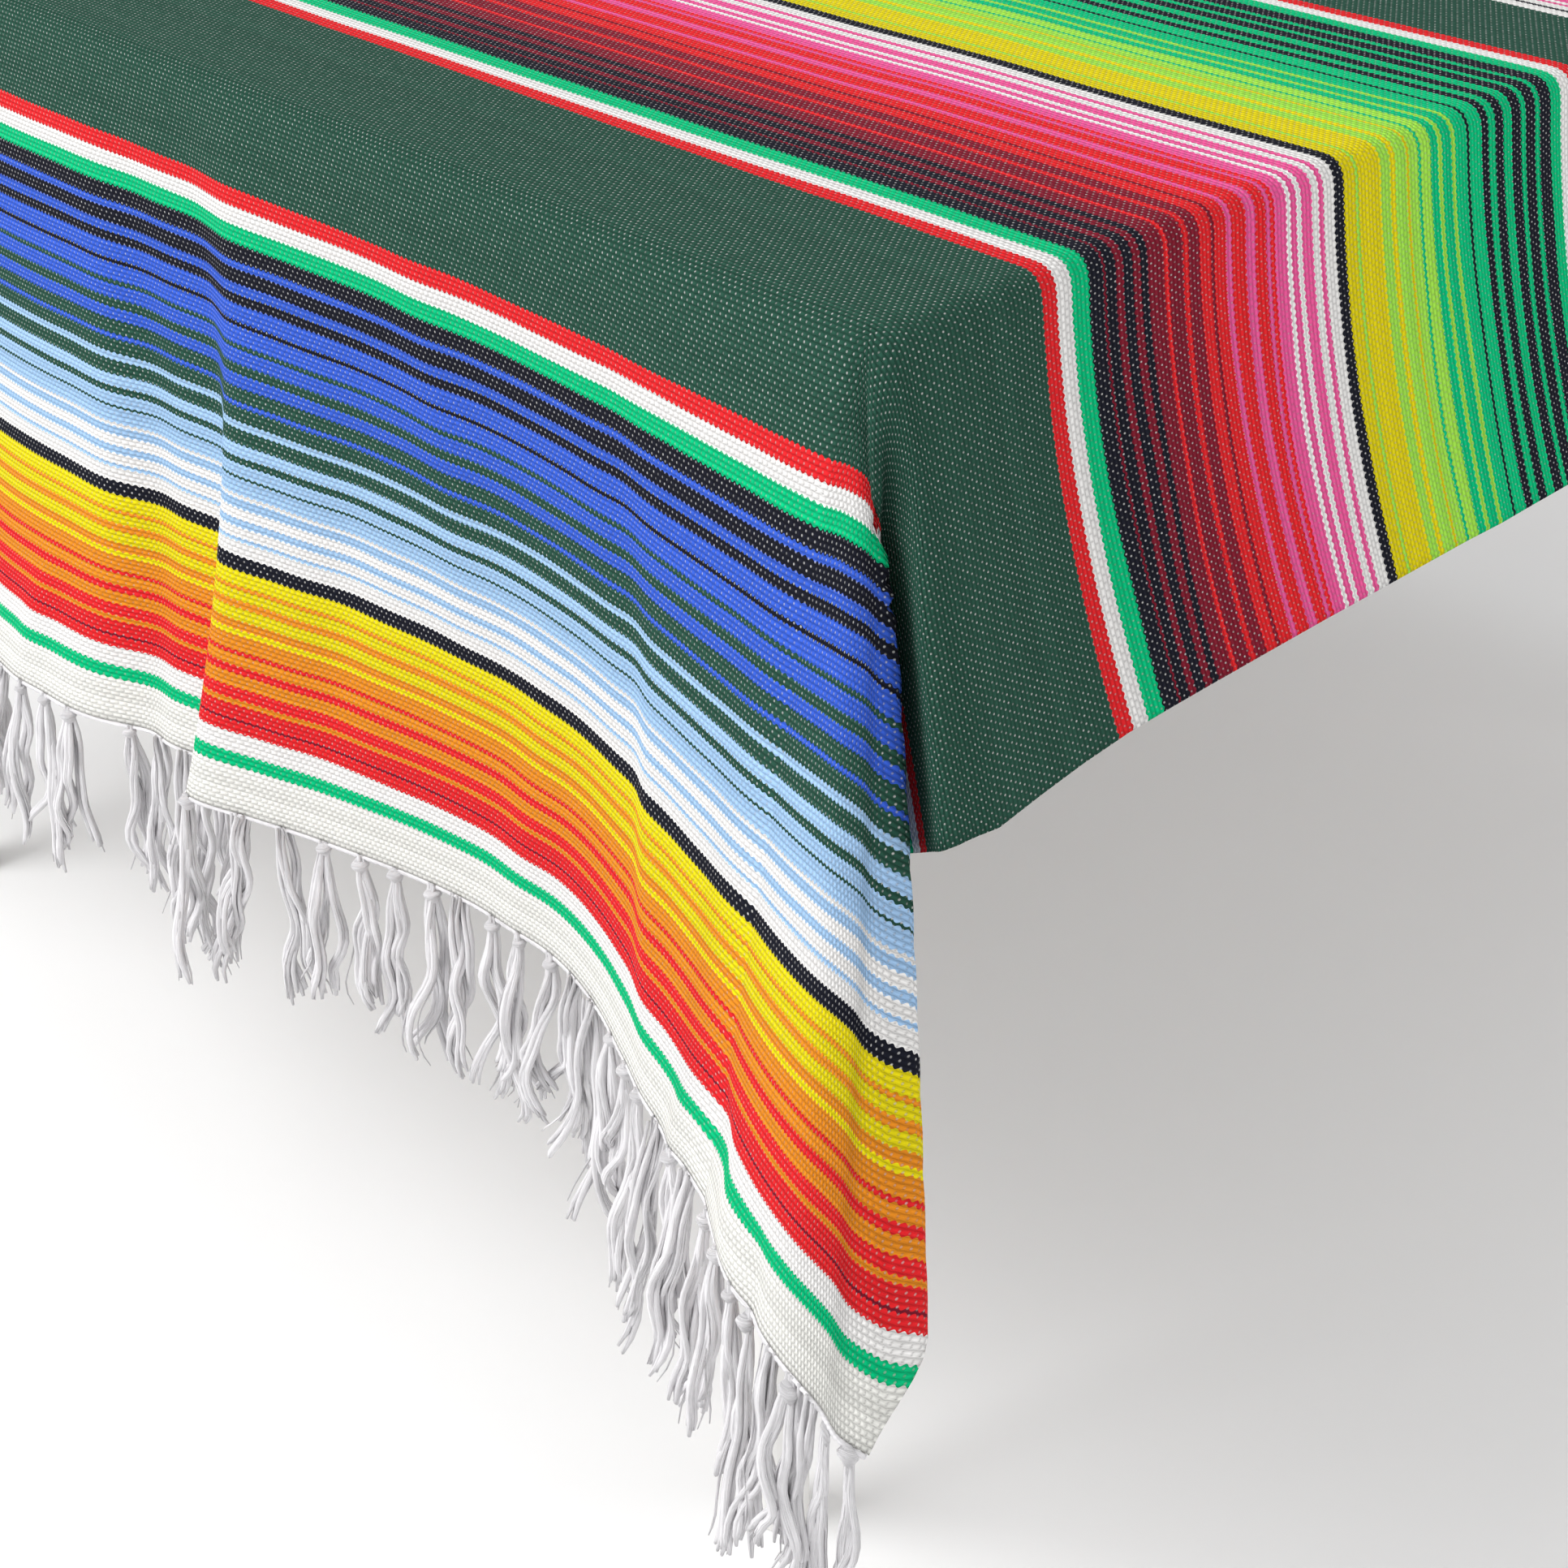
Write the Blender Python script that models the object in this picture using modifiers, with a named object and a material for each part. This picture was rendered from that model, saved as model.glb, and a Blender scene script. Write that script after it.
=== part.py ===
"""Mexican serape blanket laid over a plain table, with its fringed ends and selvedges hanging.

The serape is one woven piece. A point of the cloth has flat coordinates, in metres:
across, from the right selvedge to the left one, and along, from the front fringed end
to the back one. hang() takes such points and lays them over the table. What lies past
the table's edge hangs down a straight ruling from the nearest point of the edge, and
each ruling leans as the fold tables say. At a corner the rulings fan out from one point,
which makes the ears. Lengths are metres, +Z is up, the front fringed end faces -Y.
"""

import math

import bmesh
import bpy
import numpy as np

# Woven size of the serape
CLOTH_WIDTH = 1.50
CLOTH_LENGTH = 2.00
WALL = 0.002

# How far the cloth hangs past the table's edges
END_DROP = 0.392
SIDE_DROP = 0.2045

# Plain table under it
TABLE_HEIGHT = 0.745
TABLE_WIDTH = CLOTH_WIDTH - 2 * SIDE_DROP
TABLE_LENGTH = CLOTH_LENGTH - 2 * END_DROP
TOP_THICKNESS = 0.025
TOP_ROUNDING = 0.010
LEG_DIAMETER = 0.032
LEG_INSET_SIDE = 0.095
LEG_INSET_END = 0.040
SEAM_GAP = 0.0003
HEM_GAP = 0.0010

# Fringe of knotted tassels at both ends
TASSELS = 66
STRIP_HEIGHT = 0.007
STRIP_THICKNESS = 0.003
TASSEL_LENGTH = 0.100
TASSEL_RINGS = ((0.12, 1.15), (0.45, 0.80), (0.80, 0.95), (1.00, 0.45))
TASSEL_SWAY = 0.005

# Length of cloth that bends over the table's edge
EDGE_RUN = 0.025
# Reach at which an ear's folds start, and at which they are full
EAR_START = 0.010
EAR_FULL = 0.130
# Length that a quarter turn takes on the loop of fold places round the table
TURN_SPAN = 0.30

# Fold tables. A lean is the sideways move of a hanging ruling for each metre of its length,
# to the right (+X) and to the back (+Y). The bow is how far the middle of the hanging cloth
# lies inside its straight line. Places on the ends run along X and on the sides along Y,
# from the table's centre.
FRONT_FOLDS = (
    # place, lean right, lean back, bow
    (-0.500, -0.010, -0.190, 0.008),
    (-0.420, 0.000, -0.110, 0.012),
    (-0.330, 0.000, -0.050, 0.015),
    (-0.240, 0.000, -0.070, 0.015),
    (-0.150, 0.000, -0.130, 0.015),
    (-0.040, -0.020, -0.160, 0.017),
    (0.000, 0.000, -0.140, 0.017),
    (0.020, 0.020, -0.100, 0.017),
    (0.050, 0.010, -0.095, 0.017),
    (0.083, 0.030, -0.080, 0.017),
    (0.100, 0.000, -0.115, 0.017),
    (0.120, -0.030, -0.160, 0.017),
    (0.155, -0.010, -0.125, 0.017),
    (0.205, 0.000, -0.075, 0.017),
    (0.255, 0.000, -0.040, 0.016),
    (0.315, 0.000, -0.020, 0.014),
    (0.365, 0.000, -0.027, 0.011),
    (0.405, 0.000, -0.057, 0.009),
    (0.445, 0.000, -0.105, 0.007),
    (0.495, 0.000, -0.160, 0.004),
)
RIGHT_FOLDS = (
    # place, lean right, lean back, bow
    (-0.575, 0.320, -0.050, 0.004),
    (-0.530, 0.280, 0.000, 0.010),
    (-0.450, 0.270, 0.020, 0.011),
    (-0.300, 0.270, 0.020, 0.008),
    (-0.140, 0.270, 0.020, 0.008),
    (0.050, 0.220, 0.000, 0.006),
    (0.200, 0.120, 0.000, 0.004),
    (0.350, 0.160, 0.000, 0.004),
    (0.500, 0.200, 0.000, 0.002),
)
BACK_FOLDS = (
    # place, lean right, lean back, bow
    (0.450, 0.000, 0.130, 0.005),
    (0.300, 0.000, 0.050, 0.012),
    (0.150, 0.020, 0.100, 0.012),
    (0.000, 0.000, 0.040, 0.012),
    (-0.200, 0.000, 0.090, 0.012),
    (-0.400, 0.000, 0.060, 0.010),
)
LEFT_FOLDS = (
    # place, lean right, lean back, bow
    (0.500, -0.160, 0.000, 0.000),
    (0.300, -0.080, 0.000, 0.002),
    (0.100, -0.140, 0.000, 0.002),
    (-0.150, -0.090, 0.000, 0.002),
    (-0.350, -0.150, 0.000, 0.000),
    (-0.500, -0.170, 0.000, 0.000),
)
# Ears. The turn is in degrees from the fringed end round to the selvedge side. The crest is
# where the turn is 30, and the deepest line of the pocket behind it where the turn is 53.
NEAR_EAR = (
    # turn, lean past the side, lean past the end, bow
    (0, 0.000, 0.215, 0.002),
    (5, 0.070, 0.262, 0.006),
    (10, 0.150, 0.305, 0.010),
    (16, 0.230, 0.330, 0.013),
    (22, 0.275, 0.320, 0.016),
    (26, 0.290, 0.305, 0.018),
    (28, 0.305, 0.280, 0.017),
    (30, 0.305, 0.215, 0.012),
    (33, 0.255, 0.190, 0.006),
    (38, 0.180, 0.150, 0.000),
    (44, 0.085, 0.105, 0.000),
    (50, -0.005, 0.065, 0.000),
    (53, -0.030, 0.040, 0.000),
    (57, 0.000, 0.010, 0.000),
    (63, 0.090, 0.040, 0.000),
    (70, 0.200, 0.095, 0.000),
    (76, 0.285, 0.150, 0.000),
    (79, 0.325, 0.180, 0.000),
    (85, 0.350, 0.135, 0.000),
    (90, 0.365, 0.080, 0.000),
)
FAR_EAR = (
    # turn, lean past the side, lean past the end, bow
    (0, 0.020, 0.200, 0.004),
    (10, 0.150, 0.270, 0.006),
    (20, 0.270, 0.280, 0.008),
    (28, 0.320, 0.220, 0.008),
    (36, 0.230, 0.120, 0.004),
    (44, 0.120, 0.050, 0.000),
    (52, 0.045, 0.030, 0.000),
    (60, 0.055, -0.020, 0.000),
    (75, 0.160, -0.010, 0.000),
    (90, 0.200, 0.000, 0.000),
)
# Corner: side (+1 right), end (+1 back), its ear and how far that swings
EARS = (
    (1, -1, NEAR_EAR, 1.00),
    (1, 1, FAR_EAR, 1.00),
    (-1, 1, FAR_EAR, 0.90),
    (-1, -1, FAR_EAR, 1.05),
)

# Cells of the cloth's mesh: past an edge, and between two edges
CELLS_SIDE, CELLS_ACROSS = 11, 30
CELLS_END, CELLS_ALONG = 17, 16

FIELD_GREEN = (0.028, 0.095, 0.062)
FRINGE_WHITE = (0.78, 0.77, 0.75)
TABLE_PAINT = (0.80, 0.79, 0.77)


def material(name, colour, roughness):
    """Principled material with a base colour and a roughness."""
    made = bpy.data.materials.new(name)
    made.use_nodes = True
    shader = made.node_tree.nodes["Principled BSDF"]
    shader.inputs["Base Color"].default_value = (*colour, 1.0)
    shader.inputs["Roughness"].default_value = roughness
    return made


def loop_place(side, end, near_x, near_y, turn):
    """Distance round the table, from the front edge's left corner and counter-clockwise.

    side and end are -1, 0 or 1: past which of the edges the point hangs. turn is the
    part of a quarter turn from the fringed end, 0 to 1.
    """
    front = near_x + TABLE_WIDTH / 2
    front_right = TABLE_WIDTH + turn * TURN_SPAN
    right = TABLE_WIDTH + TURN_SPAN + near_y + TABLE_LENGTH / 2
    half = TABLE_WIDTH + TABLE_LENGTH + 2 * TURN_SPAN
    back_right = half - turn * TURN_SPAN
    back = half + TABLE_WIDTH / 2 - near_x
    back_left = half + TABLE_WIDTH + turn * TURN_SPAN
    left = half + TABLE_WIDTH + TURN_SPAN + TABLE_LENGTH / 2 - near_y
    front_left = 2 * half - turn * TURN_SPAN
    return np.select(
        [(end < 0) & (side == 0), (end < 0) & (side > 0), (end == 0) & (side > 0),
         (end > 0) & (side > 0), (end > 0) & (side == 0), (end > 0) & (side < 0),
         (end == 0) & (side < 0), (end < 0) & (side < 0)],
        [front, front_right, right, back_right, back, back_left, left, front_left],
        0.0)


def fold_loop():
    """All fold tables as one array round the table: loop place, lean right, lean back, bow."""
    rows = []

    def add(side, end, near_x, near_y, turn, lean_x, lean_y, bow):
        """Add a row at its place on the loop."""
        place = loop_place(np.array(side), np.array(end), near_x, near_y, turn)
        rows.append((float(place), lean_x, lean_y, bow))

    for place, lean_x, lean_y, bow in FRONT_FOLDS:
        add(0, -1, place, 0.0, 0.0, lean_x, lean_y, bow)
    for place, lean_x, lean_y, bow in BACK_FOLDS:
        add(0, 1, place, 0.0, 0.0, lean_x, lean_y, bow)
    for place, lean_x, lean_y, bow in RIGHT_FOLDS:
        add(1, 0, 0.0, place, 0.0, lean_x, lean_y, bow)
    for place, lean_x, lean_y, bow in LEFT_FOLDS:
        add(-1, 0, 0.0, place, 0.0, lean_x, lean_y, bow)
    for side, end, ear, swing in EARS:
        for turn, past_side, past_end, bow in ear:
            add(side, end, 0.0, 0.0, turn / 90, side * past_side * swing, end * past_end * swing, bow)
    return np.array(sorted(rows))


def read_loop(rows, place):
    """Leans and bow at a place on the loop, by a cubic through the rows that closes on itself."""
    round_trip = 2 * (TABLE_WIDTH + TABLE_LENGTH + 2 * TURN_SPAN)
    before = rows[-1:] - (round_trip, 0, 0, 0)
    after = rows[:2] + (round_trip, 0, 0, 0)
    rows = np.vstack([before, rows, after])
    knots, values = rows[:, 0], rows[:, 1:]
    gap = np.diff(knots)[:, None]
    rise = np.diff(values, axis=0) / gap
    slope = np.zeros_like(values)
    slope[1:-1] = (gap[1:] * rise[:-1] + gap[:-1] * rise[1:]) / (gap[1:] + gap[:-1])
    place = np.mod(place - knots[1], round_trip) + knots[1]
    low = np.clip(np.searchsorted(knots, place, side="right") - 1, 1, len(knots) - 3)
    step = gap[low]
    u = (place - knots[low])[:, None] / step
    return ((2 * u**3 - 3 * u**2 + 1) * values[low] + (u**3 - 2 * u**2 + u) * step * slope[low]
            + (3 * u**2 - 2 * u**3) * values[low + 1] + (u**3 - u**2) * step * slope[low + 1])


def hang(across, along):
    """Points of the cloth's underside, laid over a table top at height 0 and hung past its edges."""
    across = np.asarray(across, dtype=float)
    along = np.asarray(along, dtype=float)
    x = CLOTH_WIDTH / 2 - across
    y = along - CLOTH_LENGTH / 2
    near_x = np.clip(x, -TABLE_WIDTH / 2, TABLE_WIDTH / 2)
    near_y = np.clip(y, -TABLE_LENGTH / 2, TABLE_LENGTH / 2)
    past_x, past_y = x - near_x, y - near_y
    reach = np.hypot(past_x, past_y)
    side = np.sign(np.round(past_x, 9))
    end = np.sign(np.round(past_y, 9))
    angle = np.arctan2(np.abs(past_x), np.abs(past_y))
    rows = fold_loop()
    folds = read_loop(rows, loop_place(side, end, near_x, near_y, angle / (math.pi / 2)))
    lean, bow = folds[:, :2], folds[:, 2]

    # Close to a corner the ear's folds fade to a plain fan between its two end rulings
    at_end = read_loop(rows, loop_place(side, end, near_x, near_y, np.zeros_like(angle)))[:, :2]
    at_side = read_loop(rows, loop_place(side, end, near_x, near_y, np.ones_like(angle)))[:, :2]
    fan = at_end * np.cos(angle)[:, None] + at_side * np.sin(angle)[:, None]
    grown = np.clip((reach - EAR_START) / (EAR_FULL - EAR_START), 0, 1)
    grown = (grown**2 * (3 - 2 * grown))[:, None]
    in_corner = ((side != 0) & (end != 0))[:, None]
    lean = np.where(in_corner, fan * (1 - grown) + lean * grown, lean)

    # Over the edge the cloth turns from level to its ruling, half of the run each
    bend = np.clip(reach / EDGE_RUN, 0, 1)
    fall = np.where(reach < EDGE_RUN, EDGE_RUN * (bend**3 - bend**4 / 2), reach - EDGE_RUN / 2)
    out = np.where(reach < EDGE_RUN, reach - fall, EDGE_RUN / 2)
    length = np.minimum(END_DROP / np.maximum(np.cos(angle), 1e-6),
                        SIDE_DROP / np.maximum(np.sin(angle), 1e-6))
    share = np.clip(reach / length, 0, 1)
    out = out - bow * 4 * share * (1 - share)
    safe = np.maximum(reach, 1e-9)
    down = np.sqrt(1 - (lean**2).sum(axis=1))
    return np.stack([near_x + past_x / safe * out + lean[:, 0] * fall,
                     near_y + past_y / safe * out + lean[:, 1] * fall,
                     -down * fall], axis=1)


def steps(drop, between, cells_drop, cells_between):
    """Grid lines along one direction of the cloth, closer together where it hangs at the ears."""
    low = np.linspace(0, drop, cells_drop + 1)
    middle = np.linspace(drop, drop + between, cells_between + 1)[1:-1]
    return np.concatenate([low, middle, 2 * drop + between - low[::-1]])


def mesh_object(name, points, faces, paint):
    """Object from points and faces, with its faces turned outwards."""
    mesh = bpy.data.meshes.new(name)
    mesh.from_pydata([tuple(p) for p in points], [], faces)
    mesh.materials.append(paint)
    made = bpy.data.objects.new(name, mesh)
    bpy.context.collection.objects.link(made)
    return made


def serape_cloth(paint):
    """The woven blanket: an open sheet over the table, given its thickness by Solidify."""
    across = steps(SIDE_DROP, TABLE_WIDTH, CELLS_SIDE, CELLS_ACROSS)
    along = steps(END_DROP, TABLE_LENGTH, CELLS_END, CELLS_ALONG)
    grid_across, grid_along = np.meshgrid(across, along, indexing="ij")
    points = hang(grid_across.ravel(), grid_along.ravel())
    points[:, 2] += TABLE_HEIGHT + SEAM_GAP
    rows, columns = len(across), len(along)
    faces = [(i * columns + j, i * columns + j + 1, (i + 1) * columns + j + 1, (i + 1) * columns + j)
             for i in range(rows - 1) for j in range(columns - 1)]
    cloth = mesh_object("serape_cloth", points, faces, paint)
    wall = cloth.modifiers.new("Wall", "SOLIDIFY")
    wall.thickness = WALL
    wall.offset = 1.0
    return cloth


def swing(seed):
    """Steady number between -1 and 1 for a seed, so that every build is the same."""
    return math.sin(seed * 12.9898 + math.sin(seed * 4.1414) * 3.0)


def hang_on_cells(across, along):
    """Points at one distance along the cloth, straight between the grid lines of its mesh."""
    lines = steps(SIDE_DROP, TABLE_WIDTH, CELLS_SIDE, CELLS_ACROSS)
    on_lines = hang(lines, np.full(len(lines), along))
    return np.stack([np.interp(across, lines, on_lines[:, k]) for k in range(3)], axis=1)


def outwards(across, along, end):
    """Unit vectors square to the hanging cloth's face, pointing away from the table."""
    small = 0.004
    sideways = hang_on_cells(across - small, along) - hang_on_cells(across + small, along)
    downwards = hang_on_cells(across, along + end * small) - hang_on_cells(across, along - end * small)
    normal = np.cross(downwards, sideways) * -end
    return normal / np.linalg.norm(normal, axis=1)[:, None]


def fringe(name, end, paint):
    """Tassels on one end (-1 front, 1 back), fused into the narrow strip of their knots.

    The strip is a run of four-sided sections along the hem. Every second cell carries a
    tassel, which grows from the cell's bottom face in rings of four points.
    """
    stations = 2 * TASSELS + 2
    across = np.linspace(0.004, CLOTH_WIDTH - 0.004, stations)
    hem = 0.0 if end < 0 else CLOTH_LENGTH
    top = hem + end * HEM_GAP
    bottom = top + end * STRIP_HEIGHT
    lie = outwards(across, hem, end)
    upper = hang_on_cells(across, top)
    lower = hang_on_cells(across, bottom)
    sections = np.stack([upper + lie * STRIP_THICKNESS, upper, lower, lower + lie * STRIP_THICKNESS], axis=1)
    points = list(sections.reshape(-1, 3))
    faces = [(0, 1, 2, 3), tuple(4 * (stations - 1) + k for k in (3, 2, 1, 0))]
    for i in range(stations - 1):
        a, b = 4 * i, 4 * (i + 1)
        faces += [(a, b, b + 1, a + 1), (a + 1, b + 1, b + 2, a + 2), (a + 3, b + 3, b, a)]
        if i % 2 == 1:
            faces += tassel(points, (a + 3, a + 2, b + 2, b + 3), across[i:i + 2].mean(), bottom, end, i)
        else:
            faces.append((a + 2, b + 2, b + 3, a + 3))
    points = np.array(points)
    points[:, 2] += TABLE_HEIGHT + SEAM_GAP
    made = mesh_object(name, points, faces, paint)
    turn_outwards(made)
    return made


def tassel(points, root, across, bottom, end, seed):
    """Rings of one tassel below its root, and the faces that join them."""
    corners = np.array([points[k] for k in root])
    centre = corners.mean(axis=0)
    length = TASSEL_LENGTH * (1 + 0.14 * swing(seed + 0.3))
    faces, ring = [], root
    for share, width in TASSEL_RINGS:
        along = np.array([bottom + end * share * length])
        aside = np.array([across + TASSEL_SWAY * share * swing(seed)])
        middle = hang(aside, along)[0]
        first = len(points)
        points.extend(middle + (corners - centre) * width)
        next_ring = tuple(range(first, first + 4))
        faces += [(ring[k], ring[(k + 1) % 4], next_ring[(k + 1) % 4], next_ring[k]) for k in range(4)]
        ring = next_ring
    faces.append(ring)
    return faces


def turn_outwards(made):
    """Point every face of a closed mesh away from its inside."""
    work = bmesh.new()
    work.from_mesh(made.data)
    bmesh.ops.recalc_face_normals(work, faces=work.faces)
    work.to_mesh(made.data)
    work.free()


def table_top(paint):
    """Board that the serape lies on, with rounded edges."""
    bpy.ops.mesh.primitive_cube_add(size=1, location=(0, 0, TABLE_HEIGHT - TOP_THICKNESS / 2))
    top = bpy.context.object
    top.name = "table_top"
    top.scale = (TABLE_WIDTH, TABLE_LENGTH, TOP_THICKNESS)
    bpy.ops.object.transform_apply(location=True, rotation=False, scale=True)
    rounding = top.modifiers.new("Rounded edges", "BEVEL")
    rounding.width = TOP_ROUNDING
    rounding.segments = 3
    top.data.materials.append(paint)
    return top


def table_leg(name, side, end, paint):
    """Round leg from the floor to just under the board."""
    height = TABLE_HEIGHT - TOP_THICKNESS - SEAM_GAP
    place = (side * (TABLE_WIDTH / 2 - LEG_INSET_SIDE), end * (TABLE_LENGTH / 2 - LEG_INSET_END), height / 2)
    bpy.ops.mesh.primitive_cylinder_add(vertices=28, radius=LEG_DIAMETER / 2, depth=height, location=place)
    leg = bpy.context.object
    leg.name = name
    bpy.ops.object.transform_apply(location=True, rotation=False, scale=False)
    leg.data.materials.append(paint)
    return leg


def centre_on_floor(objects):
    """Move all pieces so that the origin is under the middle of their common box."""
    bpy.context.view_layer.update()
    seen = bpy.context.evaluated_depsgraph_get()
    corners = np.vstack([[corner[:] for corner in made.evaluated_get(seen).bound_box] for made in objects])
    low, high = corners.min(axis=0), corners.max(axis=0)
    shift = -np.array([(low[0] + high[0]) / 2, (low[1] + high[1]) / 2, low[2]])
    for made in objects:
        made.location = shift
    bpy.context.view_layer.update()


def main():
    """Clear the scene and build the serape on its table."""
    for old in list(bpy.data.objects):
        bpy.data.objects.remove(old, do_unlink=True)
    wool = material("serape_weave", FIELD_GREEN, 0.95)
    yarn = material("fringe_yarn", FRINGE_WHITE, 0.95)
    paint = material("table_paint", TABLE_PAINT, 0.55)
    pieces = [serape_cloth(wool), fringe("fringe_front", -1, yarn), fringe("fringe_back", 1, yarn), table_top(paint)]
    for side, side_name in ((-1, "left"), (1, "right")):
        for end, end_name in ((-1, "front"), (1, "back")):
            pieces.append(table_leg(f"table_leg_{end_name}_{side_name}", side, end, paint))
    centre_on_floor(pieces)


main()
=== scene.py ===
"""Mexican serape over a table: its weave, drape, knotted fringe and table finish, with a soft studio stage.

Flat cloth coordinates are metres: across from the right selvedge to the left one, along from
the front fringed end to the back one. Every surface of the cloth and its fringe starts there.
"""

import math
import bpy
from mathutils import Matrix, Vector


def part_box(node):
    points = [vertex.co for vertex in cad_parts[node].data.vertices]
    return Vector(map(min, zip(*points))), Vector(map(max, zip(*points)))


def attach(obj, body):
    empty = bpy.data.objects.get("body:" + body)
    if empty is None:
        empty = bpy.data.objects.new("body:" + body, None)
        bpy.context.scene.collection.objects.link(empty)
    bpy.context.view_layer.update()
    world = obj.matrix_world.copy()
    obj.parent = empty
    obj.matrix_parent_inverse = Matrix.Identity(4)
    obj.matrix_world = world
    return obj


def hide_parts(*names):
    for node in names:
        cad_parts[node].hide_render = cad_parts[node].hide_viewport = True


bl_info = {
    "name": "Serape on a table",
    "version": (1, 0, 0),
    "blender": (4, 5, 0),
    "location": "View3D > Sidebar > Serape",
    "description": "Builds a striped woven serape with knotted fringe, draped over a plain table",
    "category": "Add Mesh",
}

import bpy
import numpy as np
from bpy.props import FloatProperty, FloatVectorProperty, IntProperty, PointerProperty

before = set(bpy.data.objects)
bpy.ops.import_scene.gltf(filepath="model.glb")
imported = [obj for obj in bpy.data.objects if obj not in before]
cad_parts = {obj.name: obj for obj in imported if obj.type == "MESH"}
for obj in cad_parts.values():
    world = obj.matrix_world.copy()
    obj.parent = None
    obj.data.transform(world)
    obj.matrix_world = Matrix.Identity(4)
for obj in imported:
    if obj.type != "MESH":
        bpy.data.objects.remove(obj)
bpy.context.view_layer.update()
TOP_LOW, TOP_HIGH = (np.array(corner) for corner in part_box("table_top"))

# Woven size, and how much of it lies on the table
CLOTH_WIDTH = 1.50
CLOTH_LENGTH = 2.00
TABLE_WIDTH, TABLE_LENGTH = (float(size) for size in (TOP_HIGH - TOP_LOW)[:2])
END_DROP = (CLOTH_LENGTH - TABLE_LENGTH) / 2
SIDE_DROP = (CLOTH_WIDTH - TABLE_WIDTH) / 2
CLOTH_BASE = np.array([*((TOP_LOW + TOP_HIGH) / 2)[:2], TOP_HIGH[2] + 0.0003])

# Cloth that bends over the table's edge, reach at which an ear starts and is full, and the
# length of a quarter turn on the loop of fold places round the table
EDGE_RUN = 0.025
EAR_START = 0.010
EAR_FULL = 0.130
TURN_SPAN = 0.30

# Fold tables. A lean is the sideways move of a hanging ruling for each metre of its length,
# and the bow is how far the middle of the drop lies inside its straight line. Places on the
# ends run along X and on the sides along Y, from the table's centre.
FRONT_FOLDS = (
    # place, lean right, lean back, bow
    (-0.500, -0.010, -0.190, 0.008),
    (-0.420, 0.000, -0.110, 0.012),
    (-0.330, 0.000, -0.050, 0.015),
    (-0.240, 0.000, -0.070, 0.015),
    (-0.150, 0.000, -0.130, 0.015),
    (-0.040, -0.020, -0.160, 0.017),
    (0.000, 0.000, -0.140, 0.017),
    (0.020, 0.020, -0.100, 0.017),
    (0.050, 0.010, -0.095, 0.017),
    (0.083, 0.030, -0.080, 0.017),
    (0.100, 0.000, -0.115, 0.017),
    (0.120, -0.030, -0.160, 0.017),
    (0.155, -0.010, -0.125, 0.017),
    (0.205, 0.000, -0.075, 0.017),
    (0.255, 0.000, -0.040, 0.016),
    (0.315, 0.000, -0.020, 0.014),
    (0.365, 0.000, -0.027, 0.011),
    (0.405, 0.000, -0.057, 0.009),
    (0.445, 0.000, -0.105, 0.007),
    (0.495, 0.000, -0.160, 0.004),
)
RIGHT_FOLDS = (
    # place, lean right, lean back, bow
    (-0.575, 0.320, -0.050, 0.004),
    (-0.530, 0.280, 0.000, 0.010),
    (-0.450, 0.270, 0.020, 0.011),
    (-0.300, 0.270, 0.020, 0.008),
    (-0.140, 0.270, 0.020, 0.008),
    (0.050, 0.220, 0.000, 0.006),
    (0.200, 0.120, 0.000, 0.004),
    (0.350, 0.160, 0.000, 0.004),
    (0.500, 0.200, 0.000, 0.002),
)
BACK_FOLDS = (
    # place, lean right, lean back, bow
    (0.450, 0.000, 0.130, 0.005),
    (0.300, 0.000, 0.050, 0.012),
    (0.150, 0.020, 0.100, 0.012),
    (0.000, 0.000, 0.040, 0.012),
    (-0.200, 0.000, 0.090, 0.012),
    (-0.400, 0.000, 0.060, 0.010),
)
LEFT_FOLDS = (
    # place, lean right, lean back, bow
    (0.500, -0.160, 0.000, 0.000),
    (0.300, -0.080, 0.000, 0.002),
    (0.100, -0.140, 0.000, 0.002),
    (-0.150, -0.090, 0.000, 0.002),
    (-0.350, -0.150, 0.000, 0.000),
    (-0.500, -0.170, 0.000, 0.000),
)
# Ears. The turn is in degrees from the fringed end round to the selvedge side. The crest is
# where the turn is 30, and the deepest line of the pocket behind it where the turn is 53.
NEAR_EAR = (
    # turn, lean past the side, lean past the end, bow
    (0, 0.000, 0.215, 0.002),
    (5, 0.070, 0.262, 0.006),
    (10, 0.150, 0.305, 0.010),
    (16, 0.230, 0.330, 0.013),
    (22, 0.275, 0.320, 0.016),
    (26, 0.290, 0.305, 0.018),
    (28, 0.305, 0.280, 0.017),
    (30, 0.305, 0.215, 0.012),
    (33, 0.255, 0.190, 0.006),
    (38, 0.180, 0.150, 0.000),
    (44, 0.085, 0.105, 0.000),
    (50, -0.005, 0.065, 0.000),
    (53, -0.030, 0.040, 0.000),
    (57, 0.000, 0.010, 0.000),
    (63, 0.090, 0.040, 0.000),
    (70, 0.200, 0.095, 0.000),
    (76, 0.285, 0.150, 0.000),
    (79, 0.325, 0.180, 0.000),
    (85, 0.350, 0.135, 0.000),
    (90, 0.365, 0.080, 0.000),
)
FAR_EAR = (
    # turn, lean past the side, lean past the end, bow
    (0, 0.020, 0.200, 0.004),
    (10, 0.150, 0.270, 0.006),
    (20, 0.270, 0.280, 0.008),
    (28, 0.320, 0.220, 0.008),
    (36, 0.230, 0.120, 0.004),
    (44, 0.120, 0.050, 0.000),
    (52, 0.045, 0.030, 0.000),
    (60, 0.055, -0.020, 0.000),
    (75, 0.160, -0.010, 0.000),
    (90, 0.200, 0.000, 0.000),
)
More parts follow.
